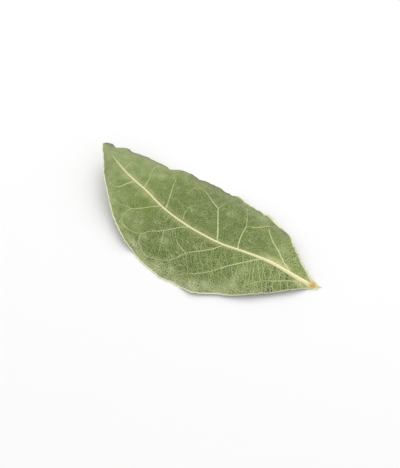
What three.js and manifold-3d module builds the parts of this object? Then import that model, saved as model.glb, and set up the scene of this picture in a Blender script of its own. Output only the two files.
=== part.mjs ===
// A dried bay leaf lying loose on a table with its lower, ribbed face up.
// The leaf arches over its midrib, its tip lifts, and three low places touch the table: one on each
// long margin and the torn foot of the stalk. One closed solid, in millimetres, +Z up. +X runs from the
// tip to the stalk, -Y is the front margin, and the origin is the middle of the box's lowest face.
import * as THREE from "three";
import { mergeVertices } from "three/addons/utils/BufferGeometryUtils.js";
import Module from "manifold-3d";

// ---- driving dimensions ----

// The leaf is laid out on 14 stations, 0 at the tip and 13 at the stalk. Each station has one point on
// the midrib and one on each margin: x, y and the height of the leaf's underside.
const MIDRIB = [
  [-41.5, 5.5, 7.5],
  [-38.5, 4.5, 7.25],
  [-34, 3, 6.75],
  [-27.5, 1.5, 6],
  [-20, 0.5, 5.5],
  [-12.5, -1, 5],
  [-5, -1.5, 4.5],
  [2.5, -1.25, 4.25],
  [10, -0.25, 4],
  [17, 2, 3.5],
  [24.5, 4, 3],
  [31.5, 5, 2],
  [37.5, 6, 0.75],
  [40.5, 7.25, -0.25],
];
const FRONT_MARGIN = [
  [-41.5, 5, 7.5],
  [-39, 2.25, 7],
  [-35.5, -2, 6.25],
  [-29.5, -7.25, 5],
  [-22.5, -12.5, 3],
  [-14, -16.5, 1.25],
  [-5, -18.5, -0.5],
  [4.5, -18.5, -0.5],
  [13.5, -17, 0.5],
  [21, -12.25, 1],
  [27.5, -6.75, 1.25],
  [33, -1.5, 1.25],
  [38, 4, 0.5],
  [40.5, 6.5, -0.25],
];
const REAR_MARGIN = [
  [-41, 6.25, 7.5],
  [-37.5, 7.75, 6.5],
  [-32, 10.5, 5],
  [-24.5, 13.75, 2.5],
  [-17, 17.25, 0.25],
  [-10.5, 18.25, -0.4],
  [-5, 19, -0.4],
  [0.5, 19, 0.75],
  [6.5, 18.5, 1.5],
  [13, 18.25, 2],
  [21.5, 16.75, 2.25],
  [30.5, 12, 2],
  [37.5, 8.25, 1],
  [40.5, 8, -0.25],
];

// Waves along the margins: the station each is centred on, how far it pushes the margin out (in where
// it is negative), and how many stations it spreads over.
const FRONT_WAVES = [
  [0.6, 0.25, 0.3],
  [1.7, -0.3, 0.3],
  [4.75, 0.15, 0.2],
  [5.3, -0.25, 0.25],
  [6.3, 0.15, 0.3],
  [6.65, 0.5, 0.2],
  [7.75, 0.4, 0.25],
  [8.45, -0.5, 0.25],
  [8.75, -0.25, 0.2],
  [9.4, 0.3, 0.3],
  [9.95, 0.4, 0.25],
  [10.6, 0.25, 0.3],
  [11.8, -0.2, 0.25],
  [12.15, -0.25, 0.25],
];
const REAR_WAVES = [
  [0.4, 1, 0.35],
  [1.35, 0.4, 0.2],
  [1.45, 1.25, 0.35],
  [2.45, 0.6, 0.45],
  [3, 0.35, 0.2],
  [3.5, -1, 0.2],
  [4.1, 0.25, 0.2],
  [4.7, -0.4, 0.2],
  [6.45, -0.25, 0.2],
  [7.4, -0.1, 0.25],
  [7.75, -0.25, 0.25],
  [8.87, -0.4, 0.15],
  [9.2, 0.4, 0.2],
  [10.1, 0.35, 0.15],
  [10.3, 0.35, 0.2],
  [11.2, -0.3, 0.25],
  [12.1, -0.2, 0.25],
];

const BLADE_THICK = 0.7; // upright, so that the slopes are still over 0.6 thick
const ARCH_POWER = 1.6; // a higher power keeps the blade level further out from the midrib
const LIFT_HIGH = 0.25; // the margins' rise and fall
const LIFT_STATIONS = 1.7; // from one rise to the next

const RIB_HALF_WIDE_TIP = 0.25;
const RIB_HALF_WIDE_STALK = 0.85;
const RIB_HIGH_TIP = 0.15;
const RIB_HIGH_STALK = 0.65;
const RIB_SHARE = 0.8; // the most of a narrow half of the leaf that the rib takes
const SHOULDER = 0.6; // the rib's shoulder, as a share of its half width
const SHOULDER_HIGH = 0.75; // and of its height
const GROOVE_DEEP = 0.12; // under the rib, on the upper face that lies down

const TORN_REACH = 0.7; // the two prongs where the stalk tore off
const TORN_SKEW = 0.25; // and how much further the rear one goes

// Side veins, each a list of [station, share of the way from the midrib to the margin]. A negative
// share is on the front half.
const SIDE_VEINS = [
  [[3.85, 0.02], [3.7, 0.15], [3.55, 0.3], [3.3, 0.5], [3.15, 0.7]],
  [[5.2, 0.02], [5, 0.14], [4.8, 0.28], [4.5, 0.44], [4.25, 0.6]],
  [[6.1, 0.02], [5.9, 0.15], [5.8, 0.32]],
  [[7.8, 0.02], [7.6, 0.18], [7.3, 0.35], [6.85, 0.58], [6.55, 0.63], [6.2, 0.68], [5.65, 0.76]],
  [[8.65, 0.02], [8.6, 0.19], [8.55, 0.34], [8.5, 0.5], [8.4, 0.67], [8.1, 0.86]],
  [[10.9, 0.1], [10.5, 0.25], [10.2, 0.37], [9.85, 0.48], [9.55, 0.62], [9.1, 0.8]],
  [[3.4, -0.02], [3.25, -0.22], [3.2, -0.4], [3.1, -0.6], [2.9, -0.72]],
  [[4.95, -0.02], [4.7, -0.17], [4.4, -0.39], [4.15, -0.54], [3.75, -0.72], [3.4, -0.84]],
  [[6.45, -0.02], [6.2, -0.1], [5.75, -0.34], [5.35, -0.51], [5.15, -0.67], [4.7, -0.81], [4.35, -0.9]],
  [[8.1, -0.02], [7.55, -0.23], [7, -0.46], [6.6, -0.67], [6.3, -0.76], [5.9, -0.84]],
  [[9.75, -0.02], [9.4, -0.13], [8.7, -0.37], [8.1, -0.55], [7.5, -0.73], [7.2, -0.81]],
  [[11.9, -0.1], [11.4, -0.3], [11, -0.45], [10.4, -0.58], [9.7, -0.71], [9.45, -0.8]],
];
// Thinner branches, which start on a side vein.
const BRANCH_VEINS = [
  [[6.85, 0.58], [6.9, 0.69], [7, 0.85]],
  [[8.5, 0.5], [8.8, 0.57], [9.1, 0.64], [9.35, 0.78], [9.65, 0.88]],
  [[4.15, -0.54], [4.15, -0.62], [4.1, -0.79]],
  [[5.75, -0.34], [5.9, -0.48], [6.1, -0.67]],
  [[7, -0.46], [6.7, -0.4], [6.3, -0.31]],
];
const VEIN_RADIUS = 0.34;
const BRANCH_RADIUS = 0.26;
const VEIN_SUNK = 0.1; // the vein's middle line lies this far under the blade's face
const VEIN_END_SUNK = 0.3; // and its far end dives this far
const VEIN_SIDES = 4;
const VEIN_STEP = 2;

// How finely the blade is cut up.
const ROWS_PER_STATION = 6;
const BLADE_SHARES = [0.1, 0.22, 0.36, 0.5, 0.64, 0.77, 0.88, 0.955, 1];

// ---- the leaf's form ----

const toLine = (points) =>
  new THREE.CatmullRomCurve3(points.map((p) => new THREE.Vector3(...p)), false, "catmullrom", 0.5);
const midribLine = toLine(MIDRIB);
const frontLine = toLine(FRONT_MARGIN);
const rearLine = toLine(REAR_MARGIN);
const LAST_STATION = MIDRIB.length - 1;

const bell = (distance, spread) => Math.exp(-((distance / spread) ** 2));

// How far the waves push a margin out at a station.
function marginPush(waves, station) {
  return waves.reduce((sum, [at, push, spread]) => sum + push * bell(station - at, spread), 0);
}

// The point of the leaf's underside at a station. Across is -1 at the front margin, 0 at the midrib and
// 1 at the rear margin.
function undersidePoint(station, across) {
  const rib = midribLine.getPoint(station / LAST_STATION);
  const isFront = across < 0;
  const edge = (isFront ? frontLine : rearLine).getPoint(station / LAST_STATION);
  const reach = Math.hypot(edge.x - rib.x, edge.y - rib.y);
  const push = marginPush(isFront ? FRONT_WAVES : REAR_WAVES, station);
  const share = Math.abs(across);
  const pushed = share * (1 + push / Math.max(reach, BLADE_THICK * 2));
  const turn = (2 * Math.PI * station) / LIFT_STATIONS + (isFront ? Math.PI : 0);
  const lift = LIFT_HIGH * Math.sin(turn) * share ** 3;
  const endShare = Math.max(0, station - LAST_STATION + 1 / ROWS_PER_STATION) * ROWS_PER_STATION;
  const torn = endShare * (TORN_REACH * across ** 2 + TORN_SKEW * across);
  return new THREE.Vector3(
    rib.x + (edge.x - rib.x) * pushed + torn,
    rib.y + (edge.y - rib.y) * pushed,
    Math.max(0, rib.z + (edge.z - rib.z) * share ** ARCH_POWER + lift),
  );
}

// Half the rib's width at a station, held within a narrow end of the leaf.
function ribHalfWide(station, reach) {
  const wanted = THREE.MathUtils.lerp(
    RIB_HALF_WIDE_TIP,
    RIB_HALF_WIDE_STALK,
    station / LAST_STATION,
  );
  return Math.min(wanted, RIB_SHARE * reach);
}

function ribHigh(station) {
  return THREE.MathUtils.lerp(RIB_HIGH_TIP, RIB_HIGH_STALK, station / LAST_STATION);
}

// The places across one half of the leaf where its columns run, and what the rib adds at each.
function halfColumns(station, side) {
  const rib = undersidePoint(station, 0);
  const edge = undersidePoint(station, side);
  const reach = Math.hypot(edge.x - rib.x, edge.y - rib.y);
  const foot = ribHalfWide(station, reach) / reach;
  return [
    { across: side * foot * SHOULDER, rise: ribHigh(station) * SHOULDER_HIGH, groove: 0 },
    { across: side * foot, rise: 0, groove: 0 },
    ...BLADE_SHARES.map((share) => ({
      across: side * (foot + (1 - foot) * share),
      rise: 0,
      groove: 0,
    })),
  ];
}

function rowColumns(station) {
  return [
    ...halfColumns(station, -1).reverse(),
    { across: 0, rise: ribHigh(station), groove: GROOVE_DEEP },
    ...halfColumns(station, 1),
  ];
}

// ---- the blade with its midrib, as one closed mesh ----

function bladeGeometry() {
  const rows = LAST_STATION * ROWS_PER_STATION;
  const columns = rowColumns(0).length;
  const under = [];
  const upper = [];
  for (let row = 0; row <= rows; row++) {
    const station = row / ROWS_PER_STATION;
    for (const { across, rise, groove } of rowColumns(station)) {
      const point = undersidePoint(station, across);
      under.push(point.x, point.y, point.z + groove);
      upper.push(point.x, point.y, point.z + BLADE_THICK + rise);
    }
  }
  const underToUpper = (rows + 1) * columns;
  const vertex = (row, column) => row * columns + column;
  const faces = [];
  for (let row = 0; row < rows; row++) {
    for (let column = 0; column < columns - 1; column++) {
      const a = vertex(row, column);
      const b = vertex(row + 1, column);
      const c = vertex(row + 1, column + 1);
      const d = vertex(row, column + 1);
      for (const [p, q, r] of [[a, b, c], [a, c, d]]) {
        faces.push(p + underToUpper, q + underToUpper, r + underToUpper);
        faces.push(p, r, q);
      }
    }
  }
  const rim = [];
  for (let row = 0; row < rows; row++) rim.push(vertex(row, 0));
  for (let column = 0; column < columns - 1; column++) rim.push(vertex(rows, column));
  for (let row = rows; row > 0; row--) rim.push(vertex(row, columns - 1));
  for (let column = columns - 1; column > 0; column--) rim.push(vertex(0, column));
  rim.forEach((here, i) => {
    const next = rim[(i + 1) % rim.length];
    faces.push(here, next, next + underToUpper);
    faces.push(here, next + underToUpper, here + underToUpper);
  });
  const geometry = new THREE.BufferGeometry();
  geometry.setAttribute("position", new THREE.Float32BufferAttribute([...under, ...upper], 3));
  geometry.setIndex(faces);
  return geometry;
}

// ---- a side vein, as a slim bar sunk into the blade's face ----

function veinGeometry(places, radius) {
  const points = places.map(([station, across], i) => {
    const point = undersidePoint(station, across);
    const sunk = i === places.length - 1 ? VEIN_END_SUNK : VEIN_SUNK;
    point.z += BLADE_THICK - sunk;
    return point;
  });
  const path = new THREE.CatmullRomCurve3(points, false, "catmullrom", 0.5);
  const section = new THREE.Shape();
  for (let side = 0; side < VEIN_SIDES; side++) {
    const angle = (2 * Math.PI * side) / VEIN_SIDES;
    const corner = [radius * Math.cos(angle), radius * Math.sin(angle)];
    if (side === 0) section.moveTo(...corner);
    else section.lineTo(...corner);
  }
  return new THREE.ExtrudeGeometry(section, {
    extrudePath: path,
    steps: Math.ceil(path.getLength() / VEIN_STEP),
    bevelEnabled: false,
  });
}

// ---- joining ----

const wasm = await Module();
wasm.setup();

function toSolid(geometry) {
  const bare = geometry.clone();
  bare.deleteAttribute("normal");
  bare.deleteAttribute("uv");
  const merged = mergeVertices(bare);
  return new wasm.Manifold(
    new wasm.Mesh({
      numProp: 3,
      vertProperties: merged.attributes.position.array,
      triVerts: new Uint32Array(merged.index.array),
    }),
  );
}

function toGeometry(solid) {
  const mesh = solid.getMesh();
  const geometry = new THREE.BufferGeometry();
  geometry.setAttribute("position", new THREE.BufferAttribute(mesh.vertProperties, 3));
  geometry.setIndex(new THREE.BufferAttribute(mesh.triVerts, 1));
  return geometry;
}

function leafGeometry() {
  const veins = [
    ...SIDE_VEINS.map((places) => veinGeometry(places, VEIN_RADIUS)),
    ...BRANCH_VEINS.map((places) => veinGeometry(places, BRANCH_RADIUS)),
  ];
  const blade = toSolid(bladeGeometry());
  const geometry = toGeometry(veins.reduce((solid, vein) => solid.add(toSolid(vein)), blade));
  geometry.computeBoundingBox();
  const { min, max } = geometry.boundingBox;
  geometry.translate(-(min.x + max.x) / 2, -(min.y + max.y) / 2, -min.z);
  geometry.computeVertexNormals();
  return geometry;
}

// ---- the part ----

const driedBlade = new THREE.MeshStandardMaterial({
  color: 0x8a9864,
  roughness: 0.8,
  metalness: 0,
});

const bayLeaf = new THREE.Mesh(leafGeometry(), driedBlade);
bayLeaf.name = "bay_leaf";

const part = new THREE.Group();
part.add(bayLeaf);

export default part;
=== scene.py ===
# %% [markdown]
# # A dried bay leaf
# A laurel leaf that was picked, dried and laid on a table with its lower face up. It arches over its
# midrib, so the two long margins come down to the table, and its tip lifts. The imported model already
# holds that form as a plain solid. This lesson lays a fine sheet over the same lines, raises its veins,
# gives it a real leaf's thickness, and paints it with procedural materials.

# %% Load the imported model
import math

import bpy
import numpy as np
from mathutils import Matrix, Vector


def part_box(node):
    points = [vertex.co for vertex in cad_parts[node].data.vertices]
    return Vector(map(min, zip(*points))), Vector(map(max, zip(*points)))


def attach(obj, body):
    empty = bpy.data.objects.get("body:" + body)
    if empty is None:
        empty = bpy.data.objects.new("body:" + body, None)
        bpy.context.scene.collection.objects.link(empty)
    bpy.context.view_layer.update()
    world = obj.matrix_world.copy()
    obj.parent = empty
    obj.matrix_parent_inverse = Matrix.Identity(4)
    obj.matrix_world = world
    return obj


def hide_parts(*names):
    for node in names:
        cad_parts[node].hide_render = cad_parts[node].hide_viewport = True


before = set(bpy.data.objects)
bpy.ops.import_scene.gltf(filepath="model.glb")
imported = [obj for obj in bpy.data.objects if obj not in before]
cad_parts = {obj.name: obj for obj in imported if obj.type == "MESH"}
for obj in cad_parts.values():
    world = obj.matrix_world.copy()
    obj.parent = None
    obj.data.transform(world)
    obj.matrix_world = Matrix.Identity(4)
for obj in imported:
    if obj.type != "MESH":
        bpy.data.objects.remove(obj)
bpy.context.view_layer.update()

MM = 0.001

# %% [markdown]
# ## Small helpers
# Everything below works by operators, as by hand. An operator acts on all that is selected, so each
# step starts by clearing the selection. Colours are written as they are seen on a screen, in hex, and
# one function turns them into the linear values that a shader needs.


# %% Helpers
def only(piece):
    """Make one object the only selected one, and the active one."""
    bpy.ops.object.select_all(action="DESELECT")
    piece.select_set(True)
    bpy.context.view_layer.objects.active = piece
    return piece


def linear(hex_colour):
    """An sRGB hex colour as linear red, green, blue and alpha."""
    channels = [int(hex_colour[i : i + 2], 16) / 255 for i in (1, 3, 5)]
    return [c / 12.92 if c <= 0.04045 else ((c + 0.055) / 1.055) ** 2.4 for c in channels] + [1.0]


def smooth_step(value, start, end):
    """0 at start and 1 at end, with a soft turn at both."""
    share = np.clip((value - start) / (end - start), 0, 1)
    return share * share * (3 - 2 * share)


def bell(distance, spread):
    """1 at no distance, and softly 0 past about twice the spread."""
    return np.exp(-((distance / spread) ** 2))


# %% [markdown]
# ## The table
# A white table top, wide enough to fill the view. It could be a box with an edge, but only its top is
# ever seen, so a single plane does. It is rolled with a matt paint, which is so rough that it shows soft
# shades and no highlight.

# %% Table
TABLE_WIDE = 3.0
TABLE_ROUGHNESS = 0.9
bpy.ops.object.select_all(action="DESELECT")
bpy.ops.mesh.primitive_plane_add(size=TABLE_WIDE, location=(0, 0, 0))
table = bpy.context.object
table.name = "table"
table_paint = bpy.data.materials.new("white_table_paint")
table_paint.use_nodes = True
table_shader = table_paint.node_tree.nodes["Principled BSDF"]
table_shader.inputs["Base Color"].default_value = linear("#f7f7f7")
table_shader.inputs["Roughness"].default_value = TABLE_ROUGHNESS
table.data.materials.append(table_paint)
print("the table is", TABLE_WIDE, "m wide")

# %% [markdown]
# ## The camera
# The leaf is small, 8 cm, and is seen close up. A short lens at that distance would make its near end
# look too big, so a long lens looks down on it from 40 cm away.

# %% Camera
CAMERA_AZIMUTH = math.radians(38)
CAMERA_ELEVATION = math.radians(55)
CAMERA_AWAY = 0.4
CAMERA_LENS = 100
CAMERA_SENSOR = 36
CAMERA_NEAREST = 0.01
AIM = np.array([0.73, 1.13, 0]) * MM


def camera_side(azimuth, elevation):
    """The unit vector from what the camera looks at towards the camera."""
    return np.array([
        math.sin(azimuth) * math.cos(elevation),
        -math.cos(azimuth) * math.cos(elevation),
        math.sin(elevation),
    ])


back = camera_side(CAMERA_AZIMUTH, CAMERA_ELEVATION)
bpy.ops.object.camera_add(
    location=AIM + CAMERA_AWAY * back,
    rotation=(math.pi / 2 - CAMERA_ELEVATION, 0, CAMERA_AZIMUTH),
)
camera = bpy.context.object
camera.data.lens = CAMERA_LENS
camera.data.sensor_width = CAMERA_SENSOR
camera.data.clip_start = CAMERA_NEAREST
bpy.context.scene.camera = camera
print("the camera is at", camera.location[:])

# %% [markdown]
# ## The lights
# Broad soft light, mostly from above and behind, as in a bright white room. A white world gives the
# even part of that light, and one wide softbox gives it a direction, so that the veins cast a faint
# shade towards the viewer.

# %% Lights
WORLD_STRENGTH = 0.83
world = bpy.data.worlds.new("white_room")
world.use_nodes = True
world.node_tree.nodes["Background"].inputs["Color"].default_value = linear("#ffffff")
world.node_tree.nodes["Background"].inputs["Strength"].default_value = WORLD_STRENGTH
bpy.context.scene.world = world
bpy.context.scene.view_settings.view_transform = "Standard"


def add_softbox(name, azimuth, elevation, away, wide, watts):
    """A square area light that looks at the leaf from a direction given in degrees."""
    azimuth, elevation = math.radians(azimuth), math.radians(elevation)
    bpy.ops.object.light_add(
        type="AREA",
        location=away * camera_side(azimuth, elevation),
        rotation=(math.pi / 2 - elevation, 0, azimuth),
    )
    light = bpy.context.object
    light.name = name
    light.data.size = wide
    light.data.energy = watts
    print(name, "gives", watts, "W from", away, "m away")


add_softbox("rear_softbox", azimuth=200, elevation=50, away=0.8, wide=0.7, watts=2.5)

# %% [markdown]
# ## The leaf's own lines
# A leaf is easiest to think of in its own two directions: how far along it a place is, and how far out
# from the midrib. Here *station* runs from 0 at the tip to 13 at the stalk, and *across* from -1 at the
# front margin over 0 on the midrib to 1 at the rear margin. Three smooth lines, the midrib and the two
# margins, then place every point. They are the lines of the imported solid, in millimetres.

# %% Midrib and margins
MIDRIB = [
    (-41.5, 5.5, 7.5), (-38.5, 4.5, 7.25), (-34, 3, 6.75), (-27.5, 1.5, 6), (-20, 0.5, 5.5),
    (-12.5, -1, 5), (-5, -1.5, 4.5), (2.5, -1.25, 4.25), (10, -0.25, 4), (17, 2, 3.5),
    (24.5, 4, 3), (31.5, 5, 2), (37.5, 6, 0.75), (40.5, 7.25, -0.25),
]
FRONT_MARGIN = [
    (-41.5, 5, 7.5), (-39, 2.25, 7), (-35.5, -2, 6.25), (-29.5, -7.25, 5), (-22.5, -12.5, 3),
    (-14, -16.5, 1.25), (-5, -18.5, -0.5), (4.5, -18.5, -0.5), (13.5, -17, 0.5), (21, -12.25, 1),
    (27.5, -6.75, 1.25), (33, -1.5, 1.25), (38, 4, 0.5), (40.5, 6.5, -0.25),
]
REAR_MARGIN = [
    (-41, 6.25, 7.5), (-37.5, 7.75, 6.5), (-32, 10.5, 5), (-24.5, 13.75, 2.5), (-17, 17.25, 0.25),
    (-10.5, 18.25, -0.4), (-5, 19, -0.4), (0.5, 19, 0.75), (6.5, 18.5, 1.5), (13, 18.25, 2),
    (21.5, 16.75, 2.25), (30.5, 12, 2), (37.5, 8.25, 1), (40.5, 8, -0.25),
]
LAST_STATION = len(MIDRIB) - 1

# Waves along the margins: the station each is centred on, how far it pushes the margin out in
# millimetres, and how many stations it spreads over.
FRONT_WAVES = [
    (0.6, 0.25, 0.3), (1.7, -0.3, 0.3), (4.75, 0.15, 0.2), (5.3, -0.25, 0.25), (6.3, 0.15, 0.3),
    (6.65, 0.5, 0.2), (7.75, 0.4, 0.25), (8.45, -0.5, 0.25), (8.75, -0.25, 0.2), (9.4, 0.3, 0.3),
    (9.95, 0.4, 0.25), (10.6, 0.25, 0.3), (11.8, -0.2, 0.25), (12.15, -0.25, 0.25),
]
REAR_WAVES = [
    (0.4, 1, 0.35), (1.35, 0.4, 0.2), (1.45, 1.25, 0.35), (2.45, 0.6, 0.45), (3, 0.35, 0.2),
    (3.5, -1, 0.2), (4.1, 0.25, 0.2), (4.7, -0.4, 0.2), (6.45, -0.25, 0.2), (7.4, -0.1, 0.25),
    (7.75, -0.25, 0.25), (8.87, -0.4, 0.15), (9.2, 0.4, 0.2), (10.1, 0.35, 0.15), (10.3, 0.35, 0.2),
    (11.2, -0.3, 0.25), (12.1, -0.2, 0.25),
]
print(len(FRONT_WAVES) + len(REAR_WAVES), "waves along the two margins")

# %% [markdown]
# ## A smooth line through a few points
# A curve object could draw these lines too, but the script has to ask for thousands of places on them
# at once. The Catmull-Rom formula does that: it passes through every point, and turns softly between.


# %% Smooth line
def smooth_line(points, place):
    """Catmull-Rom curve through points that are one unit of place apart."""
    points = np.array(points, float)
    last = len(points) - 1
    start = np.clip(np.floor(place).astype(int), 0, last - 1)
    t = (place - start)[:, None]
    before = np.where((start == 0)[:, None], 2 * points[0] - points[1], points[start - 1])
    after = np.where(
        (start + 2 > last)[:, None],
        2 * points[last] - points[last - 1],
        points[np.minimum(start + 2, last)],
    )
    here, there = points[start], points[start + 1]
    leave, arrive = (there - before) / 2, (after - here) / 2
    cubic = 2 * here - 2 * there + leave + arrive
    square = 3 * there - 3 * here - 2 * leave - arrive
    return cubic * t**3 + square * t**2 + leave * t + here


middle = smooth_line(MIDRIB, np.array([LAST_STATION / 2]))[0]
print("halfway along, the midrib is at", middle.round(1), "mm")

# %% [markdown]
# ## The blade's underside
# The blade isn't flat between its midrib and its margins: it stays level near the midrib and turns down
# towards the margins. Each margin also rises and falls in long waves, and the stalk end is torn into two
# prongs. One function gives all of that, and every later step asks it where the leaf is.

# %% Underside
ARCH_POWER = 1.6  # a higher power keeps the blade level further out
LIFT_HIGH, LIFT_STATIONS, LIFT_POWER = 0.25, 1.7, 3  # the margins' rise and fall
LEAST_REACH = 1.4  # a wave pushes a narrower half of the leaf no harder than one this wide
TORN_STATIONS = 1 / 6
TORN_REACH, TORN_SKEW = 0.7, 0.25


def margin_line(station, is_front):
    """The smooth margin, without its waves, on each point's own side."""
    lines = smooth_line(FRONT_MARGIN, station), smooth_line(REAR_MARGIN, station)
    return np.where(is_front[:, None], *lines)


def margin_push(station, is_front):
    """How far the waves push the margin out at each station."""
    pushes = [
        sum(push * bell(station - at, spread) for at, push, spread in waves)
        for waves in (FRONT_WAVES, REAR_WAVES)
    ]
    return np.where(is_front, *pushes)


def underside(station, across):
    """Points of the leaf's underside, in millimetres."""
    is_front = across < 0
    rib = smooth_line(MIDRIB, station)
    edge = margin_line(station, is_front)
    reach = np.hypot(*(edge - rib)[:, :2].T)
    share = np.abs(across)
    pushed = share * (1 + margin_push(station, is_front) / np.maximum(reach, LEAST_REACH))
    turn = 2 * math.pi * station / LIFT_STATIONS + np.where(is_front, math.pi, 0)
    lift = LIFT_HIGH * np.sin(turn) * share**LIFT_POWER
    end_share = np.clip((station - LAST_STATION) / TORN_STATIONS + 1, 0, 1)
    place = rib + (edge - rib) * pushed[:, None]
    place[:, 0] += end_share * (TORN_REACH * across**2 + TORN_SKEW * across)
    place[:, 2] = rib[:, 2] + (edge - rib)[:, 2] * share**ARCH_POWER + lift
    return place


def margin_place(station, across):
    """The point of the margin on each point's own side."""
    return underside(station, np.where(across < 0, -1.0, 1.0))


widest = margin_place(np.array([7.0, 7.0]), np.array([-1, 1]))
print("at station 7 the leaf is", round(abs(widest[1, 1] - widest[0, 1]), 1), "mm wide")

# %% [markdown]
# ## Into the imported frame
# The lines were drawn round a middle of their own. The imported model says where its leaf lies, so the
# middle of their outline is moved to the middle of that leaf.

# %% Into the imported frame
OUTLINE_POINTS = 400
outline_stations = np.linspace(0, LAST_STATION, OUTLINE_POINTS)
sides = [underside(outline_stations, np.full(OUTLINE_POINTS, side)) for side in (-1.0, 1.0)]
outline = np.vstack(sides)
outline_middle = (outline[:, :2].min(0) + outline[:, :2].max(0)) / 2
node_low, node_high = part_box("bay_leaf")
node_middle = np.array([(node_low[i] + node_high[i]) / 2 for i in (0, 1)]) / MM
TO_FRAME = np.append(node_middle - outline_middle, 0)
print("the lines are moved by", TO_FRAME.round(3), "mm to lie in the packed frame")

# %% [markdown]
# ## The veins
# A laurel leaf has one strong midrib. Side veins leave it at a slant towards the tip, fork, and join in
# arches before they reach the margin. Each vein here is a list of places in leaf coordinates, with its
# half width in millimetres at its two ends first. The blade's relief and colour both come from how near
# a point is to such a line.

# %% Veins of the rear half
REAR_VEINS = [
    ((0.17, 0.1), [(2.6, 0.02), (2.5, 0.2), (2.4, 0.42)]),
    ((0.18, 0.1), [(3.85, 0), (3.72, 0.13), (3.56, 0.3), (3.3, 0.5), (3.15, 0.67), (3.1, 0.8)]),
    ((0.2, 0.15), [(5.2, 0), (5, 0.14), (4.78, 0.28), (4.52, 0.42), (4.25, 0.6)]),
    ((0.18, 0.1), [(6.1, 0), (5.9, 0.15), (5.84, 0.25), (5.75, 0.36)]),
    ((0.28, 0.2), [(7.8, 0), (7.57, 0.18), (7.3, 0.35), (6.87, 0.58)]),
    ((0.22, 0.12), [
        (6.87, 0.58), (6.55, 0.63), (6.18, 0.68), (5.67, 0.76), (5.25, 0.78), (5, 0.78),
    ]),
    ((0.14, 0.1), [(5.25, 0.78), (5.12, 0.65), (5.17, 0.54), (5.31, 0.42)]),
    ((0.18, 0.1), [(6.87, 0.58), (6.91, 0.69), (7, 0.85)]),
    ((0.24, 0.12), [(8.7, 0), (8.58, 0.19), (8.54, 0.34), (8.53, 0.5), (8.38, 0.67), (8.07, 0.88)]),
    ((0.15, 0.1), [
        (8.53, 0.5), (8.79, 0.57), (9.12, 0.64), (9.37, 0.78), (9.66, 0.88), (9.9, 0.96),
    ]),
    ((0.31, 0.16), [
        (11, 0.05), (10.78, 0.16), (10.49, 0.25), (10.2, 0.37), (9.86, 0.48), (9.56, 0.63),
        (9.42, 0.72),
    ]),
    ((0.11, 0.1), [(3.09, 0.8), (3.37, 0.69), (3.79, 0.6), (4.24, 0.58)]),
]
print(len(REAR_VEINS), "veins on the rear half")

# %% Veins of the front half
FRONT_VEINS = [
    ((0.13, 0.1), [(2.38, 0), (2.33, -0.1), (2.19, -0.38)]),
    ((0.24, 0.13), [
        (3.4, 0), (3.25, -0.22), (3.19, -0.39), (3.08, -0.59), (2.93, -0.71), (2.75, -0.76),
    ]),
    ((0.2, 0.12), [
        (4.95, 0), (4.68, -0.17), (4.38, -0.39), (4.17, -0.54), (3.99, -0.59), (3.74, -0.72),
        (3.4, -0.84),
    ]),
    ((0.16, 0.1), [(4.17, -0.54), (4.17, -0.62), (4.12, -0.79)]),
    ((0.2, 0.13), [
        (6.5, 0), (6.21, -0.1), (5.77, -0.34), (5.34, -0.51), (5.13, -0.67), (4.72, -0.81),
        (4.35, -0.9),
    ]),
    ((0.18, 0.12), [(5.77, -0.34), (5.93, -0.48), (6.1, -0.67)]),
    ((0.15, 0.1), [(5.13, -0.67), (5.27, -0.76)]),
    ((0.21, 0.13), [
        (8.12, 0), (7.8, -0.14), (7.26, -0.34), (6.98, -0.46), (6.62, -0.67), (6.31, -0.76),
        (5.9, -0.84),
    ]),
    ((0.19, 0.12), [(6.98, -0.46), (6.68, -0.4), (6.49, -0.36), (6.31, -0.31)]),
    ((0.15, 0.1), [(6.98, -0.46), (7.16, -0.57)]),
    ((0.15, 0.1), [(6.6, -0.68), (6.73, -0.8)]),
    ((0.26, 0.14), [
        (9.78, 0), (9.42, -0.13), (9.04, -0.27), (8.42, -0.47), (7.81, -0.64), (7.2, -0.81),
    ]),
    ((0.25, 0.14), [
        (12.1, 0), (11.79, -0.1), (11.43, -0.3), (11.02, -0.45), (10.41, -0.58), (10.03, -0.63),
        (9.48, -0.78),
    ]),
    ((0.18, 0.14), [(5.13, -0.67), (5.28, -0.8), (5.74, -0.86), (5.9, -0.84)]),
    ((0.18, 0.14), [(4.17, -0.54), (4.15, -0.67), (4.18, -0.81), (4.37, -0.86), (4.72, -0.81)]),
    ((0.12, 0.1), [(6.1, -0.67), (6.18, -0.78)]),
    ((0.14, 0.1), [(6.31, -0.31), (6.19, -0.25), (6.05, -0.17)]),
    ((0.12, 0.1), [(7.16, -0.57), (7.42, -0.74)]),
    ((0.12, 0.1), [(7.38, -0.31), (7.53, -0.42), (7.74, -0.49), (7.87, -0.62)]),
    ((0.12, 0.1), [(7.75, -0.16), (7.91, -0.34), (8.12, -0.54)]),
    ((0.13, 0.1), [(9.23, -0.22), (9.36, -0.34), (9.44, -0.46), (9.42, -0.57)]),
    ((0.12, 0.1), [(9.53, -0.1), (9.85, -0.44), (9.99, -0.63)]),
    ((0.12, 0.1), [(8.44, -0.47), (8.54, -0.61), (8.63, -0.78)]),
]
SIDE_VEINS = REAR_VEINS + FRONT_VEINS
print(len(SIDE_VEINS), "side veins and branches")

# %% [markdown]
# ## How near a point is to a vein
# Each vein is first turned into close points in the leaf's plan. A point's distance to it is then the
# least of its distances to the short straight runs between them. Looking at every vein for every point
# would be slow, so a vein is only asked about points inside a box round it.

# %% Nearness
VEIN_SAMPLE = 0.4  # millimetres between the samples of a vein's line
FEWEST_SAMPLES = 4
VEIN_REACH = 3.0  # millimetres; further off than this a vein makes no difference
FAR_HALVES = 99.0  # half widths; the nearness of a point that no vein is near


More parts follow.
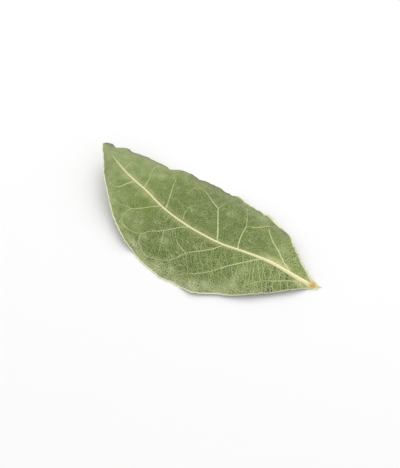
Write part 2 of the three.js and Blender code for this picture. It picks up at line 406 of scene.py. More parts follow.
def vein_samples(places):
    """A vein as close points in the leaf's plan."""
    places = np.array(places)
    rough = underside(places[:, 0], places[:, 1])
    long = np.hypot(*np.diff(rough[:, :2], axis=0).T).sum()
    samples = max(FEWEST_SAMPLES, int(long / VEIN_SAMPLE))
    dense = smooth_line(places, np.linspace(0, len(places) - 1, samples))
    return underside(dense[:, 0], dense[:, 1])[:, :2]


def distance_to_line(plan, line):
    """Each point's distance to a line of short straight runs, and how far along the line it is."""
    best = np.full(len(plan), np.inf)
    along = np.zeros(len(plan))
    for i, (start, end) in enumerate(zip(line[:-1], line[1:])):
        run = end - start
        share = np.clip((plan - start) @ run / (run @ run), 0, 1)
        gap = np.hypot(*(plan - start - share[:, None] * run).T)
        nearer = gap < best
        best = np.where(nearer, gap, best)
        along = np.where(nearer, (i + share) / (len(line) - 1), along)
    return best, along


VEIN_LINES = [(half_widths, vein_samples(places)) for half_widths, places in SIDE_VEINS]


def vein_nearness(plan):
    """How many half widths each point is from its nearest side vein, and that vein's half width."""
    nearness = np.full(len(plan), FAR_HALVES)
    half_wide = np.ones(len(plan))
    for (half_start, half_end), line in VEIN_LINES:
        low, high = line.min(0) - VEIN_REACH, line.max(0) + VEIN_REACH
        close = np.flatnonzero(((plan > low) & (plan < high)).all(1))
        gap, along = distance_to_line(plan[close], line)
        half = half_start + (half_end - half_start) * along
        nearer = gap / half < nearness[close]
        nearness[close[nearer]] = (gap / half)[nearer]
        half_wide[close[nearer]] = half[nearer]
    return nearness, half_wide


print(sum(len(line) for _, line in VEIN_LINES), "points on the veins' lines")

# %% [markdown]
# ## A flat slab in leaf coordinates
# The blade starts as a grid whose X is the station and whose Y is the place across. A Solidify modifier
# makes it a slab with two faces and a rim, each in a material slot of its own. It stays flat until it is
# cut finely enough, because a flat grid's faces are easy to pick by their place.

# %% Slab
ROWS_PER_STATION = 16
COLUMNS = 84
SLAB_THICK = 1.0  # it only has to tell the two faces apart until the slab is bent
LOWER_FACE_FROM = -0.1 * SLAB_THICK
bpy.ops.object.select_all(action="DESELECT")
bpy.ops.mesh.primitive_grid_add(
    x_subdivisions=LAST_STATION * ROWS_PER_STATION, y_subdivisions=COLUMNS, size=2
)
leaf = bpy.context.object
leaf.name = "bay_leaf_blade"
bpy.ops.object.mode_set(mode="EDIT")
bpy.ops.transform.resize(value=(LAST_STATION / 2, 1, 1))
bpy.ops.transform.translate(value=(LAST_STATION / 2, 0, 0))
bpy.ops.object.mode_set(mode="OBJECT")
for slot_name in ("waxy_lower_face", "olive_upper_face", "horny_rim"):
    leaf.data.materials.append(bpy.data.materials.new(slot_name))
only(leaf)
solidify = leaf.modifiers.new("thickness", "SOLIDIFY")
solidify.thickness = SLAB_THICK
solidify.offset = -1
solidify.material_offset = 1
solidify.material_offset_rim = 2
bpy.ops.object.modifier_apply(modifier=solidify.name)
print("the plain slab has", len(leaf.data.vertices), "vertices")

# %% [markdown]
# ## Finer faces where the relief is
# The lower face of a bay leaf, which is up here, has all the relief, so only its faces are cut finer
# where a vein, the midrib or a margin runs. The face that lies down stays light. A finer grid all over
# would give the same look with several times the faces.


# %% Finer faces
def vertex_array(mesh):
    """A mesh's vertices as an array of places."""
    places = np.zeros(len(mesh.vertices) * 3, np.float32)
    mesh.vertices.foreach_get("co", places)
    return places.reshape(-1, 3).astype(float)


def cut_finer_near_veins(mesh, side_reach, rib_reach, edge_reach):
    """Select the lower face's pieces within these distances of a vein, the midrib or a margin, and
    subdivide them."""
    centres = np.zeros(len(mesh.polygons) * 3, np.float32)
    mesh.polygons.foreach_get("center", centres)
    centres = centres.reshape(-1, 3).astype(float)
    station, across = np.clip(centres[:, 0], 0, LAST_STATION), centres[:, 1]
    here = underside(station, across)[:, :2]
    rib_gap = np.hypot(*(here - underside(station, across * 0)[:, :2]).T)
    edge_gap = np.hypot(*(here - margin_place(station, across)[:, :2]).T)
    nearness, half_wide = vein_nearness(here)
    near = (nearness * half_wide < side_reach) | (rib_gap < rib_reach) | (edge_gap < edge_reach)
    near &= centres[:, 2] > LOWER_FACE_FROM
    bpy.ops.object.mode_set(mode="EDIT")
    bpy.ops.mesh.select_mode(type="FACE")
    bpy.ops.mesh.select_all(action="DESELECT")
    bpy.ops.object.mode_set(mode="OBJECT")
    mesh.polygons.foreach_set("select", near)
    bpy.ops.object.mode_set(mode="EDIT")
    bpy.ops.mesh.subdivide(number_cuts=1)
    bpy.ops.object.mode_set(mode="OBJECT")


cut_finer_near_veins(leaf.data, side_reach=0.5, rib_reach=1.1, edge_reach=0.7)
cut_finer_near_veins(leaf.data, side_reach=0.2, rib_reach=0.0, edge_reach=0.0)
print("the slab has", len(leaf.data.vertices), "vertices")


# %% [markdown]
# ## What only a fine mesh can hold
# On top of the solid's form come a slow unevenness from drying, a few soft creases, and the rear
# margin's tight downward curl. Each is a small function of the place, so that it can be tried alone.

# %% Unevenness, creases and curl
DRYING_SEED = 11
DRYING_WAVES = (26, 19, 14, 11, 8.5, 6.5)  # wavelengths in millimetres
DRYING_STEEP = 0.0065  # a wave's height as a share of its length
CREASES = [  # how wide and how high in millimetres, and the places it runs through
    (1.2, 0.16, [(9.25, -0.4), (9.1, -0.59), (8.95, -0.86)]),
    (0.35, 0.08, [(8.67, 0.2), (9.07, 0.31), (9.37, 0.43)]),
    (0.8, 0.12, [(6.05, -0.8), (6.9, -0.83), (7.7, -0.86), (8.4, -0.9)]),
]
LONG_CURL_STARTS, LONG_CURL_ENDS = (-0.5, 0.3), (6.9, 7.4)  # stations
SHORT_CURLS = [(8.5, 0.4, 0.9), (10.05, 0.15, 0.8)]  # station, spread and strength


def drying_waves(plan):
    """A slow unevenness made of a few long waves in seeded directions."""
    random = np.random.default_rng(DRYING_SEED)
    height = np.zeros(len(plan))
    for wavelength in DRYING_WAVES:
        heading, phase = random.uniform(0, 2 * math.pi, 2)
        along = plan @ np.array([math.cos(heading), math.sin(heading)])
        height += DRYING_STEEP * wavelength * np.sin(2 * math.pi * along / wavelength + phase)
    return height


def creases(plan):
    """How high the soft creases stand at each point, and how strongly they show, from 0 to 1."""
    height = np.zeros(len(plan))
    shows = np.zeros(len(plan))
    for wide, high, places in CREASES:
        gap, _ = distance_to_line(plan, vein_samples(places))
        height += high * bell(gap, wide)
        shows = np.maximum(shows, bell(gap, wide))
    return height, shows


def rear_curl(station):
    """Where the rear margin is rolled down, from 0 to 1."""
    curl = smooth_step(station, *LONG_CURL_STARTS) * (1 - smooth_step(station, *LONG_CURL_ENDS))
    for at, spread, strength in SHORT_CURLS:
        curl = curl + strength * bell(station - at, spread)
    return np.clip(curl, 0, 1)


print(len(DRYING_WAVES), "drying waves and", len(CREASES), "creases")

# %% [markdown]
# ## The relief of the veins
# The midrib is a rounded ridge with a furrow on each side, and it widens only near the stalk. A side
# vein is a low ridge as high as a share of its half width, and the rim is a fine bead. Where half the
# leaf is too narrow for a form, the form fades out: the values that end in NEEDS say how wide, in
# millimetres, it has to be for the form to begin and to be full.

# %% Relief
RIB_HALF_WIDE_TIP, RIB_HALF_WIDE_STALK = 0.34, 0.78
RIB_WIDENS = 6  # the power of the place along the leaf by which the midrib widens
RIB_HIGH_TIP, RIB_HIGH_STALK = 0.1, 0.52
RIB_ROUND = 1.2
RIB_STARTS = (0, 1)  # stations
FURROW_DEEP, FURROW_NEEDS = 0.06, (1.5, 4)
FURROW_AT, FURROW_SPREAD = 1.3, 0.3  # in half widths of the midrib
VEIN_HIGH = 0.42  # of the vein's half width
MARGIN_FADE = (0, 1)  # veins and creases fade out over the last millimetre before the margin
RIM_HIGH, RIM_SPREAD, RIM_NEEDS = 0.05, 0.22, (0.8, 3)


def relief(station, reach, rib_gap, rib_half, edge_gap, nearness, half_wide):
    """What the midrib, its furrows, the side veins and the rim add to the lower face."""
    share = station / LAST_STATION
    rib_high = RIB_HIGH_TIP + (RIB_HIGH_STALK - RIB_HIGH_TIP) * share**2
    rib_high = rib_high * smooth_step(station, *RIB_STARTS)
    rise = rib_high * (1 - np.clip(rib_gap / rib_half, 0, 1) ** 2) ** RIB_ROUND
    furrow = bell(rib_gap / rib_half - FURROW_AT, FURROW_SPREAD)
    rise -= FURROW_DEEP * furrow * smooth_step(reach, *FURROW_NEEDS)
    ridge = 1 - np.clip(nearness, 0, 1) ** 2
    rise += VEIN_HIGH * half_wide * ridge * smooth_step(edge_gap, *MARGIN_FADE)
    return rise + RIM_HIGH * bell(edge_gap, RIM_SPREAD) * smooth_step(reach, *RIM_NEEDS)


print("the midrib stands", RIB_HIGH_TIP, "to", RIB_HIGH_STALK, "mm over the blade")

# %% [markdown]
# ## The shape of the whole leaf
# The panels between the veins swell a little, as they do when a leaf dries, and the margin has a fine
# ripple. One function adds these, the waves, the creases and the curl to the underside. It also gives
# the distances that it worked out, because the colours need them too.

# %% Leaf's shape
RIB_SHARE = 0.8  # the most of a narrow half of the leaf that the midrib takes
LEAST_HALF = 0.1  # millimetres; half a leaf is taken to be no narrower than this
NO_REACH = 1e-6  # keeps the tip, where the leaf has no width, from a division by zero
QUILT_HIGH, QUILT_REACH = 0.1, 2.2
DRYING_FROM_RIB, DRYING_NEEDS = (0.5, 5), (1, 8)
RIPPLE_HIGH, RIPPLE_LONG, RIPPLE_IN, RIPPLE_NEEDS = 0.16, 2.7, 2, (2, 6)
RIPPLE_SWAY, RIPPLE_SWAY_TURN = 1.3, 0.9  # make the ripple uneven
CURL_DEEP, CURL_IN, CURL_WIDE, CURL_NEEDS = 0.62, 0.22, 1.1, (0.6, 3)


def shape_leaf(station, across):
    """The underside with its fine forms, in millimetres, what the veins add to the face above it, and
    how far each point is from the midrib, the margin and its side vein."""
    place = underside(station, across)
    plan = place[:, :2].copy()
    rib_point = underside(station, across * 0)[:, :2]
    edge_point = margin_place(station, across)[:, :2]
    reach = np.hypot(*(edge_point - rib_point).T)
    rib_gap = np.hypot(*(plan - rib_point).T)
    edge_gap = np.maximum(reach - rib_gap, 0)
    outward = (edge_point - rib_point) / np.maximum(reach, NO_REACH)[:, None]

    share = (station / LAST_STATION) ** RIB_WIDENS
    rib_half = RIB_HALF_WIDE_TIP + (RIB_HALF_WIDE_STALK - RIB_HALF_WIDE_TIP) * share
    rib_half = np.minimum(rib_half, RIB_SHARE * np.maximum(reach, LEAST_HALF))
    nearness, half_wide = vein_nearness(plan)
    rise = relief(station, reach, rib_gap, rib_half, edge_gap, nearness, half_wide)

    quilt_gap = np.minimum(np.minimum(nearness * half_wide, rib_gap), edge_gap)
    place[:, 2] += QUILT_HIGH * smooth_step(quilt_gap, 0, QUILT_REACH)
    dried = smooth_step(rib_gap, *DRYING_FROM_RIB) * smooth_step(reach, *DRYING_NEEDS)
    place[:, 2] += drying_waves(plan) * dried
    place[:, 2] += creases(plan)[0] * smooth_step(edge_gap, *MARGIN_FADE)

    sway = RIPPLE_SWAY * np.sin(plan[:, 0] * RIPPLE_SWAY_TURN)
    ripple = 0.5 * (np.sin(2 * math.pi * plan[:, 0] / RIPPLE_LONG + sway) - 1)
    ripple *= RIPPLE_HIGH * smooth_step(edge_gap, RIPPLE_IN, 0) * smooth_step(reach, *RIPPLE_NEEDS)
    place[:, :2] += outward * ripple[:, None]

    curl = rear_curl(station) * (across > 0) * smooth_step(edge_gap, CURL_WIDE, 0)
    curl *= smooth_step(reach, *CURL_NEEDS)
    place[:, 2] -= CURL_DEEP * curl
    place[:, :2] -= outward * (CURL_IN * curl)[:, None]
    place[:, 2] = np.maximum(place[:, 2], 0)
    return place, rise, rib_gap, rib_half, edge_gap, nearness, half_wide


tip_place, *_ = shape_leaf(np.array([0.0]), np.array([0.0]))
print("the tip is", round(tip_place[0, 2], 1), "mm over the table")

# %% [markdown]
# ## Bending the slab into the leaf
# Every vertex now moves from leaf coordinates to its real place. The slab's two faces become the blade's
# two faces: the lower one, which is up, takes all of the relief, and the upper one a faint share of it.

# %% Bend
BLADE_THICK = 0.34
UPPER_SHARE, UPPER_MOST = 0.25, 0.2  # how much of the veins' relief the upper face shows
SHARP_EDGE = math.radians(40)
ON_MIDRIB = 1e-5
slab = vertex_array(leaf.data)
is_lower_face = slab[:, 2] > -0.5 * SLAB_THICK
station = np.clip(slab[:, 0], 0, LAST_STATION)
across = np.clip(slab[:, 1], -1, 1)
across[np.abs(across) < ON_MIDRIB] = 0
place, rise, rib_gap, rib_half, edge_gap, nearness, half_wide = shape_leaf(station, across)
place[:, 2] += np.where(
    is_lower_face, BLADE_THICK + rise, UPPER_SHARE * np.minimum(rise, UPPER_MOST)
)
place[:, 2] = np.maximum(place[:, 2], 0)
place += TO_FRAME
leaf.data.vertices.foreach_set("co", (place * MM).astype(np.float32).ravel())
leaf.data.update()
only(leaf)
bpy.ops.object.shade_smooth_by_angle(angle=SHARP_EDGE)
triangles = sum(len(face.vertices) - 2 for face in leaf.data.polygons)
print("bent leaf:", len(leaf.data.vertices), "vertices,", triangles, "triangles")

# %% [markdown]
# ## What the materials need to know
# A colour that follows the leaf's anatomy can't come from a pattern in space. So each vertex keeps how
# far it is from the midrib, from its side vein and from the margin, and a few soft masks. Most masks are
# made of zones: a zone lies on one half of the leaf, runs softly from one station to another, and may
# fade with the distance from the margin.

# %% Zones
FRONT, REAR = -1, 1
NEAR_STALK = (8.5, 10.5)
is_front = across < 0
still_plan = underside(station, across)[:, :2]  # the plan before it was rippled and curled
near_stalk = smooth_step(station, *NEAR_STALK)


def band(start, end, soft):
    """1 between two stations, and softly 0 outside them."""
    rise = smooth_step(station, start - soft, start + soft)
    return rise * smooth_step(station, end + soft, end - soft)


def zone(side, strength, stations, soft, fades=None):
    """A soft mask on one half of the leaf. Its fades are two distances from the margin in millimetres:
    where it is gone, and where it is full."""
    mask = strength * band(*stations, soft) * (is_front == (side == FRONT))
    return mask if fades is None else mask * smooth_step(edge_gap, *fades)


print(round(100 * is_front.mean()), "percent of the vertices are on the front half")

# %% [markdown]
# ## Wax and painted sheen
# The lower face of a bay leaf carries a thin wax that looks like a grey breath on it. Over it lies a
# painted sheen, a pale reflection where the blade turns near the front margin and along the creases.
# Both are thickest along the front margin, in cloudy patches. Noise alone would put them anywhere, so a
# short list gives the patches' places, and noise only roughens them later.

# %% Wax and painted sheen
WAX_SHEEN_ZONES = [
    (0.3, (5.6, 8.8), 1.2, (6.5, 1)),
    (0.5, (5, 9.3), 0.5, (4.5, 1)),
    (0.25, (3, 5.5), 0.6, (4, 1)),
    (0.35, (9, 10.5), 0.6, (3, 0.5)),
]
WAX_SHEEN_PATCHES = [  # station, across, how long and how wide in millimetres, how thick from 0 to 1
    (0.5, -0.1, 1.4, 1.2, 0.35), (3.7, 0.5, 2.2, 1.2, 0.25), (4.7, -0.62, 5.5, 3.2, 0.2),
    (5.2, -0.91, 3.8, 1.2, 0.8), (5.3, -0.3, 2.0, 1.2, 0.3), (5.32, -0.65, 1.5, 0.8, 0.4),
    (6.0, 0.3, 1.2, 1.0, 0.3), (6.05, -0.49, 1.8, 1.6, 0.5), (6.4, -0.88, 3.0, 1.7, 0.9),
    (6.8, -0.83, 1.6, 1.8, 0.85), (7.6, 0.62, 2.0, 1.2, 0.35), (7.75, -0.9, 3.2, 2.1, 1.0),
    (8.2, -0.85, 2.0, 1.6, 0.85), (9.0, -0.82, 2.0, 1.4, 0.6), (9.0, 0.84, 1.5, 1.4, 0.35),
    (10.4, 0.5, 1.6, 1.3, 0.35),
]
# The creases get a painted sheen, a pale line of reflection, stronger on the front half.
CREASE_SHEEN = {FRONT: 0.35, REAR: 0.15}


def wax_sheen_patches(plan):
    """How strong the wax and its painted sheen are in their cloudy patches, from 0 to 1."""
    wax_and_sheen = np.zeros(len(plan))
    for at, across, long, wide, thick in WAX_SHEEN_PATCHES:
        here, further = underside(np.array([at, at + 0.1]), np.array([across, across]))[:, :2]
        way = (further - here) / np.hypot(*(further - here))
        off = plan - here
        along, aside = off @ way, off @ np.array([-way[1], way[0]])
        wax_and_sheen = np.maximum(wax_and_sheen, thick * bell(np.hypot(along / long, aside / wide), 1))
    return wax_and_sheen


wax_and_sheen = wax_sheen_patches(still_plan)
for wax_sheen_zone in WAX_SHEEN_ZONES:
    wax_and_sheen = np.maximum(wax_and_sheen, zone(FRONT, *wax_sheen_zone))
crease_sheen = np.where(is_front, CREASE_SHEEN[FRONT], CREASE_SHEEN[REAR]) * creases(still_plan)[1]
print("wax on", round(100 * (wax_and_sheen > 0.3).mean()), "percent of the vertices")

# %% [markdown]
# ## Tone
# The rear shoulder, and the front margin near the tip, are greyed with a painted sheen and shade where
# the blade turns down and away. The middle of each half is deep green, and the fine mosaic of the blade
# is crisp near the stalk and blurred towards the tip, where the leaf is thin. Painted shade darkens the
# rolled margin and the tip.

# %% Tone
SHOULDER_REACH, SHOULDER_WIDENS = 3, 4  # how far in the grey reaches, and how much more past the tip
GREY_HIDES_DEEP = 0.8
# The mosaic's strength at the tip, what it gains towards the middle, and what other things add to it:
CRISP_TIP, CRISP_GAIN, CRISP_NEAR_STALK, CRISP_GREY = 0.34, 0.58, 0.1, -0.15
CRISP_WAX_SHEEN, CRISP_FRONT_STALK, CRISP_REAR_STALK = 0.35, 1.1, 0.7
ROLLED_SHADE = (2.1, 0.9)  # where the rolled margin's shade begins and is full, in millimetres
TIP_SHADE = 0.3
shoulder_reach = SHOULDER_REACH + SHOULDER_WIDENS * smooth_step(station, 1.2, 3.2)
# Painted sheen and shade: the rear shoulder, and the front margin near the tip, are greyed where the
# blade turns down and away from the light.
grey_sheen_and_shade = zone(REAR, 1, (1.2, 10.2), 0.6, (shoulder_reach, 0.6))
grey_sheen_and_shade = grey_sheen_and_shade + zone(FRONT, 0.6, (1, 3.3), 0.5, (2.6, 0.8))

deep = zone(FRONT, 0.5, (4.5, 9), 1) * (1 - wax_and_sheen)
deep += zone(FRONT, 0.45, (10.2, 11.9), 0.6, (5, 3))
deep += zone(REAR, 0.85, (4.6, 9.4), 1.2) * (1 - GREY_HIDES_DEEP * grey_sheen_and_shade)
deep += zone(REAR, 0.35, (9.35, 10.1), 0.25, (6, 3))

crisp = CRISP_TIP + CRISP_GAIN * smooth_step(station, 2, 6)
crisp += CRISP_NEAR_STALK * near_stalk + CRISP_GREY * grey_sheen_and_shade
crisp += np.where(
    is_front,
    CRISP_WAX_SHEEN * wax_and_sheen + CRISP_FRONT_STALK * near_stalk,
    CRISP_REAR_STALK * smooth_step(station, 10, 11) * smooth_step(across, 0.1, 0.4),
)
crisp += zone(FRONT, 0.3, (5.5, 8.5), 1)

# Painted shade: darker along the rolled rear margin, in a few patches near both margins, and over the
# tip.
curl_and_tip_shade = np.where(is_front, 0, rear_curl(station)) * smooth_step(edge_gap, *ROLLED_SHADE)
curl_and_tip_shade += zone(REAR, 0.6, (1.9, 3.1), 0.4, (4, 1.5))
curl_and_tip_shade += zone(REAR, 0.35, (9.1, 10.3), 0.3, (5, 2))
curl_and_tip_shade += zone(FRONT, 0.5, (1.1, 2.5), 0.4, (2.4, 1))
curl_and_tip_shade += TIP_SHADE * smooth_step(station, 1.7, 0.7)
print("the mosaic's strength runs from", crisp.min().round(2), "to", crisp.max().round(2))

# %% [markdown]
# ## Rim, midrib and veins
# The horny rim is widest where the margin stands free of the curl. Fine hair-like veinlets fringe the
# midrib, and near the stalk their tissue runs together into a pale haze. A vein is paler the wider it
# is, and the midrib fades out before the tip.

# %% Rim and fringe
RIM_WIDE = {FRONT: 0.21, REAR: 0.1}
RIM_ZONES = [
    (FRONT, 0.12, (0.2, 4.5), 0.6), (REAR, 0.12, (0.9, 2.4), 0.2), (REAR, 0.26, (7.3, 8.2), 0.15),
    (REAR, 0.65, (8.9, 9.85), 0.12), (REAR, 0.6, (10.35, 13.2), 0.12),
]
FRINGE_WIDE, FRINGE_NARROWS = 2.1, {FRONT: 1.6, REAR: 0.9}  # millimetres
FRINGE_FROM = 0.9  # of the midrib's half width
REAR_FRINGE_FADES = 0.6
rim_wide = np.where(is_front, RIM_WIDE[FRONT], RIM_WIDE[REAR])
for rim_zone in RIM_ZONES:
    rim_wide = rim_wide + zone(*rim_zone)
rim_pale = 1 - zone(FRONT, 0.45, (9, 12.5), 0.6) - zone(REAR, 0.5, (-1, 5), 1)

narrows = np.where(is_front, FRINGE_NARROWS[FRONT], FRINGE_NARROWS[REAR])
fringe_wide = FRINGE_WIDE - narrows * smooth_step(station, 7, 9)
fringe = smooth_step(rib_gap - FRINGE_FROM * rib_half, fringe_wide, 0.2) * band(2.6, 12, 0.7)
fringe *= np.where(is_front, 1, 1 - REAR_FRINGE_FADES * near_stalk)
haze = np.maximum(
    zone(REAR, 1, (9.75, 10.9), 0.3) * smooth_step(rib_gap, 2.8, 0.8),
    zone(FRONT, 1, (11.35, 12.7), 0.3) * smooth_step(rib_gap, 3.2, 1.4),
)
haze = np.maximum(haze, zone(REAR, 0.5, (11.6, 12.7), 0.4))
print("the rim is", rim_wide.min().round(2), "to", rim_wide.max().round(2), "mm wide")

# %% Midrib and side veins
RIB_TINT_WIDER = 0.25  # near the stalk the pale midrib is drawn wider than its ridge
RIB_FADES = 1.3  # half widths; it narrows by this much at the tip
RIB_PALE_AT_TIP, RIB_PALE_GAINS = 0.3, [(0.37, 0.6, 3.4), (0.33, 2, 9)]
THIN_VEIN, WIDE_VEIN, THIN_VEIN_PALE, TIP_VEIN_PALE = 0.08, 0.26, 0.3, 0.92
GOLD_LINE = [(8.8, 0.57), (9.12, 0.64), (9.37, 0.78)]  # a branch vein that dried golden
GOLD_STRENGTH, GOLD_SPREAD = 0.45, 0.3
rib_halves = rib_gap / rib_half / (1 + RIB_TINT_WIDER * near_stalk)
rib_halves += RIB_FADES * (1 - smooth_step(station, 0.7, 2.6))
rib_pale = RIB_PALE_AT_TIP
for gain, start, end in RIB_PALE_GAINS:
    rib_pale = rib_pale + gain * smooth_step(station, start, end)
vein_pale = THIN_VEIN_PALE + (1 - THIN_VEIN_PALE) * smooth_step(half_wide, THIN_VEIN, WIDE_VEIN)
vein_pale *= TIP_VEIN_PALE + (1 - TIP_VEIN_PALE) * smooth_step(station, 7, 9.5)
gold_gap, _ = distance_to_line(still_plan, vein_samples(GOLD_LINE))
gold_line = GOLD_STRENGTH * bell(gold_gap, GOLD_SPREAD)
print("the side veins' strength runs from", vein_pale.min().round(2), "to", vein_pale.max().round(2))

# %% [markdown]
# ## The two ends
# The stalk end is torn, golden brown and notched between its prongs, and the blade beside it is yellower
# than the rest. The tip is yellower too, and painted shade darkens its very end.

# %% Two ends
TORN_FROM, TORN_ACROSS = (11.95, 12.4), (1, 0.35)
TORN_PALES, PALE_SHARE = (12.7, 12.95), 0.75  # towards its very end the torn stalk is paler
NOTCH_AT, NOTCH_LONG, NOTCH_WIDE = (12.97, 0.05), 0.07, 0.3
BENT_TIP_SHADE_STATIONS, BENT_TIP_SHADE_ACROSS = (1.1, 0.3), (-0.5, 0.6)
TIP_STATIONS = (4.6, 1)
REAR_STALK, REAR_STALK_STATIONS = 0.85, (9.4, 10.8)
torn = smooth_step(station, *TORN_FROM) * smooth_step(np.abs(across), *TORN_ACROSS)
torn *= 1 - PALE_SHARE * smooth_step(station, *TORN_PALES)
notch = bell(station - NOTCH_AT[0], NOTCH_LONG) * bell(across - NOTCH_AT[1], NOTCH_WIDE)
# Painted shade at the very end of the tip, on its rear half.
bent_tip_shade = smooth_step(station, *BENT_TIP_SHADE_STATIONS) * smooth_step(across, *BENT_TIP_SHADE_ACROSS)
tip = smooth_step(station, *TIP_STATIONS)
rear_stalk = REAR_STALK * smooth_step(station, *REAR_STALK_STATIONS)
stalk = np.where(is_front, zone(FRONT, 0.5, (9.2, 11), 0.6), rear_stalk)
print((torn > 0.5).sum(), "vertices are torn stalk")

# %% [markdown]
# ## Keeping the masks
# A named attribute keeps one number, or one vector, for each vertex, and a shader can read it by its
# name. Two vectors are kept as well: a place along and away from the midrib, for the fringe, and a place
# along and across the side veins of each half, because the veinlets run square to them.

# %% Attributes
MM_PER_STATION = 6.38
FRONT_VEIN_WAY = np.array([-0.79, -0.62])
REAR_VEIN_WAY = np.array([-0.62, 0.79])
HALVES_APART = 50  # moves the two halves' patterns apart, so that they don't mirror each other
MOST_RIB_HALVES, MOST_VEIN_HALVES = 8, 6  # past these many half widths a distance no longer matters
CRISP_RANGE = (0.2, 2.2)
GOLD_STATIONS = (8.5, 11)


def store(mesh, name, values):
    """Keep one number, or one vector, for each vertex under a name."""
    values = np.asarray(values, np.float32)
    kind, key = ("FLOAT", "value") if values.ndim == 1 else ("FLOAT_VECTOR", "vector")
    mesh.attributes.new(name, kind, "POINT").data.foreach_set(key, values.ravel())


plan = place[:, :2]
way = np.where(is_front[:, None], FRONT_VEIN_WAY, REAR_VEIN_WAY)
square_way = np.stack([-way[:, 1], way[:, 0]], 1)
side = np.sign(across)
rib_frame = np.stack([station * MM_PER_STATION, rib_gap, side], 1)
grain = np.stack([(plan * way).sum(1), (plan * square_way).sum(1), side * HALVES_APART], 1)
# Four of these masks paint light: the grey shoulder and the wax band hold a painted sheen, the wax over
# a real bloom, and the rolled margin and dark tip hold painted shade.
KEPT = {
    "rib_halves": np.minimum(rib_halves, MOST_RIB_HALVES),
    "rib_pale": rib_pale,
    "vein_halves": np.minimum(nearness, MOST_VEIN_HALVES),
    "vein_pale": vein_pale,
    "rim_widths": edge_gap / rim_wide,
    "rim_pale": rim_pale,
    "wax_and_sheen": np.maximum(wax_and_sheen, crease_sheen),
    "grey_sheen_and_shade": grey_sheen_and_shade,
    "deep": np.clip(deep, 0, 1),
    "crisp": np.clip(crisp, *CRISP_RANGE),
    "fringe": fringe,
    "haze": haze,
    "gold_line": gold_line,
    "gold": smooth_step(station, *GOLD_STATIONS),
    "tip": tip,
    "stalk": stalk,
    "torn": torn,
    "notch": notch,
    "bent_tip_shade": bent_tip_shade,
    "curl_and_tip_shade": np.clip(curl_and_tip_shade, 0, 1),
}
for name, values in KEPT.items():
    store(leaf.data, name, values)
store(leaf.data, "rib_frame", rib_frame)
store(leaf.data, "grain", grain)
print(len(KEPT) + 2, "attributes kept")

# %% [markdown]
# ## Where the veinlets start
# Between two side veins, thin veinlets run across like the rungs of a ladder. They are too many to place
# by hand, so a rule with a seeded draw grows them. A rung starts on the midrib or on a side vein. Some
# starts are left out, except in the front stalk third, where a laurel leaf's ladder is complete.

# %% Rung starts
RUNG_SEED = 5
RUNG_GAP = 1.7  # millimetres from one start to the next
RUNG_MISSING = 0.35
MIDRIB_RUNGS_FROM, MIDRIB_RUNGS_TO = 1.7, 12.4  # stations
RUNG_STRAY = 0.1  # stations
BESIDE_MIDRIB = 0.02
LEAST_RUNG_VEIN = 0.2  # a side vein with a thinner half width carries no rungs
LADDER_STATIONS, LADDER_ACROSS = (8, 9.5), (0.05, -0.05)


def ladder_share(station, across):
    """1 in the front stalk third, where the rungs are dense and plain to see, and 0 elsewhere."""
    return smooth_step(station, *LADDER_STATIONS) * smooth_step(across, *LADDER_ACROSS)


def rung_starts(random):
    """Where rungs begin: (station, across, side) on the midrib and along each side vein."""
    starts = []
    for side in (FRONT, REAR):
        for at in np.arange(MIDRIB_RUNGS_FROM, MIDRIB_RUNGS_TO, RUNG_GAP / MM_PER_STATION):
            at = at + random.uniform(-RUNG_STRAY, RUNG_STRAY)
            starts.append((at, side * BESIDE_MIDRIB, side))
        for (half_start, _), places in SIDE_VEINS:
            places = np.array(places)
            if side * places[:, 1].mean() <= 0 or half_start < LEAST_RUNG_VEIN:
                continue
            line = underside(places[:, 0], places[:, 1])[:, :2]
            long = np.hypot(*np.diff(line, axis=0).T).sum()
            for share in np.arange(0.5 * RUNG_GAP, long, RUNG_GAP) / long:
                at = smooth_line(places, np.array([share * (len(places) - 1)]))[0]
                starts.append((*at, side))
    starts = np.array(starts)
    missing = RUNG_MISSING * (1 - ladder_share(*starts.T[:2]))
    return starts[random.random(len(starts)) > missing]


print(len(rung_starts(np.random.default_rng(RUNG_SEED))), "places where a rung starts")

# %% [markdown]
# ## A step across the leaf
# A rung will grow in short steps that are even in the leaf's plan, but its places are kept as stations
# and places across. A small move along and a small move out show how the two are related at each point,
# and from them a step is turned round.

# %% Step in the leaf
TINY = 0.005


def plan_step_in_leaf(station, across, move):
    """The change of station and across that moves a point by a step in the plan."""
    here = underside(station, across)[:, :2]
    along = (underside(station - TINY, across)[:, :2] - here) / -TINY
    out = (underside(station, across * (1 - TINY))[:, :2] - here) / (-TINY * across)[:, None]
    area = along[:, 0] * out[:, 1] - along[:, 1] * out[:, 0]
    return np.stack([
        (move[:, 0] * out[:, 1] - move[:, 1] * out[:, 0]) / area,
        (along[:, 0] * move[:, 1] - along[:, 1] * move[:, 0]) / area,
    ], 1)


one_mm = plan_step_in_leaf(np.array([6.0]), np.array([0.5]), np.array([[1.0, 0.0]]))
print("one millimetre along the leaf is", one_mm[0].round(3), "in station and across")

# %% [markdown]
# ## How the veinlets grow
# From its start a rung takes its steps towards the next vein and wanders a little, as if it were drawn
# by an unsteady hand. It ends where it meets a vein or comes near the margin.

# %% Growing rungs
RUNG_STEP, RUNG_STEPS = 0.3, 60  # how long a step is in millimetres, and the most steps
FIRST_STEPS = 3  # a rung can't end in these, because it has to leave its own vein first
RUNG_HEADING = {FRONT: math.atan2(-0.79, 0.62), REAR: math.atan2(0.62, 0.79)}
START_TURN, STEP_TURN = 0.07, 0.04  # radians
RUNG_MARGIN, RUNG_MARGIN_AT_STALK = 0.9, 0.4  # how far from the margin a rung ends, in millimetres
END_STATIONS = 0.2  # keeps the rungs off the leaf's two ends
LEAST_ACROSS, MOST_ACROSS = 0.01, 0.99
RIB_OVERLAP = 0.8  # how far out of the midrib a rung begins, of the rib's half width
LEAST_RUNG = 1  # millimetres; a shorter rung is left out


